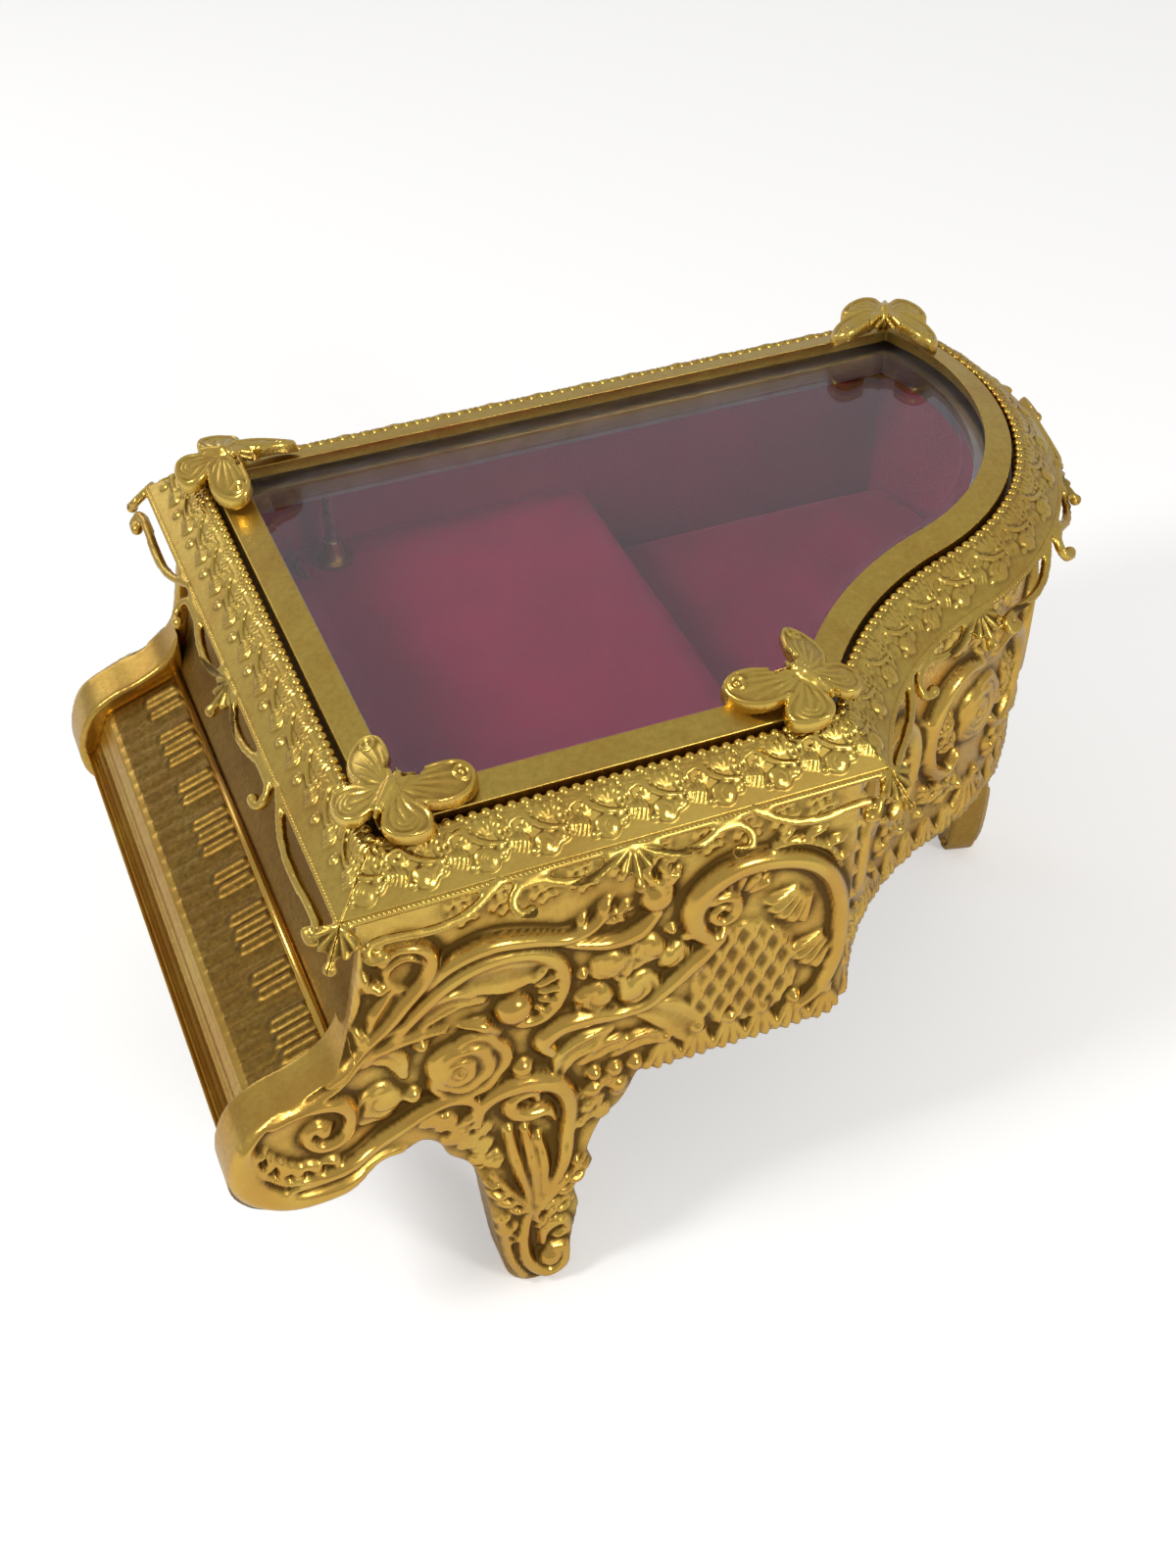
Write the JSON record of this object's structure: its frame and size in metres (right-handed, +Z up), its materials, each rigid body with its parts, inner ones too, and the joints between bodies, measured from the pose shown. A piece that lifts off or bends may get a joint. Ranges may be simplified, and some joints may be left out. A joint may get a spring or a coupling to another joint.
{
  "type": "glass casket box",
  "caption": "Gilt cast metal casket shaped as a small grand piano, with a hinged bevelled glass lid, velvet-lined inside and a wind-up musical movement.",
  "frame": {"origin": "centre of the bounding box on the plane that the feet stand on", "axes": "+X from the keyboard end to the round tail, +Y from the treble side to the straight spine side with the lid hinges, +Z up"},
  "size_m": [0.2155, 0.148, 0.1326],
  "materials": {
    "gilt_casting": "gold plated casting, bright on the relief and darker in the hollows",
    "bare_zinc": "bare grey die-cast zinc, satin",
    "steel": "plain steel",
    "brass": "plain turned brass",
    "velvet": "crimson velvet over board",
    "glass": "clear plate glass, polished bevel"
  },
  "bodies": {
    "case": {"treble_side_panel": "gilt_casting", "spine_side_panel": "gilt_casting", "bentside_panel": "gilt_casting", "keyboard_plate": "gilt_casting", "fallboard": "gilt_casting", "base_plate": "bare_zinc", "base_screws": "steel", "velvet_platform": "velvet", "well_pad": "velvet", "wall_lining": "velvet", "stop_pin_eyelet": "brass", "movement_bedplate": "bare_zinc", "movement_screws": "steel", "tone_comb": "steel", "comb_screws": "steel", "governor_bracket": "brass", "hinge_body_leaves": "gilt_casting", "hinge_pins": "steel"},
    "lid": {"lid_frame": "bare_zinc", "keyboard_border": "gilt_casting", "treble_border": "gilt_casting", "bentside_border": "gilt_casting", "spine_border": "gilt_casting", "bevelled_glass": "glass", "glass_bezel": "gilt_casting", "butterfly_front_left": "gilt_casting", "butterfly_front_right": "gilt_casting", "butterfly_back_left": "gilt_casting", "butterfly_back_right": "gilt_casting", "hinge_lid_leaves": "gilt_casting"},
    "stop_pin": {"stop_pin": "steel"},
    "winding_train": {"spring_barrel": "brass", "winding_key": "steel"},
    "cylinder": {"music_cylinder": "brass"},
    "governor": {"governor_fly": "brass"}
  },
  "joints": [
    {"name": "lid_hinge", "type": "hinge", "parent": "case", "child": "lid", "pos_m": [0, 0.0664, 0.109], "axis": [-1, 0, 0], "range_deg": [0, 95]},
    {"name": "stop_pin_slide", "type": "slide", "parent": "case", "child": "stop_pin", "axis": [0, 0, 1], "range_m": [0, 0.004]},
    {"name": "winding", "type": "hinge", "parent": "case", "child": "winding_train", "pos_m": [-0.02034, 0.0246, 0.08], "axis": [0, 0, 1], "continuous": true},
    {"name": "cylinder_spin", "type": "hinge", "parent": "case", "child": "cylinder", "pos_m": [0, 0.0246, 0.08922], "axis": [1, 0, 0], "continuous": true},
    {"name": "governor_spin", "type": "hinge", "parent": "case", "child": "governor", "pos_m": [-0.04999, 0.0311, 0.085], "axis": [0, 0, 1], "continuous": true}
  ],
  "couplings": [
    {"joint": "stop_pin_slide", "follows": "lid_hinge", "m_per_rad": 0.0024},
    {"joint": "cylinder_spin", "follows": "winding", "ratio": -3},
    {"joint": "governor_spin", "follows": "winding", "ratio": 72}
  ]
}
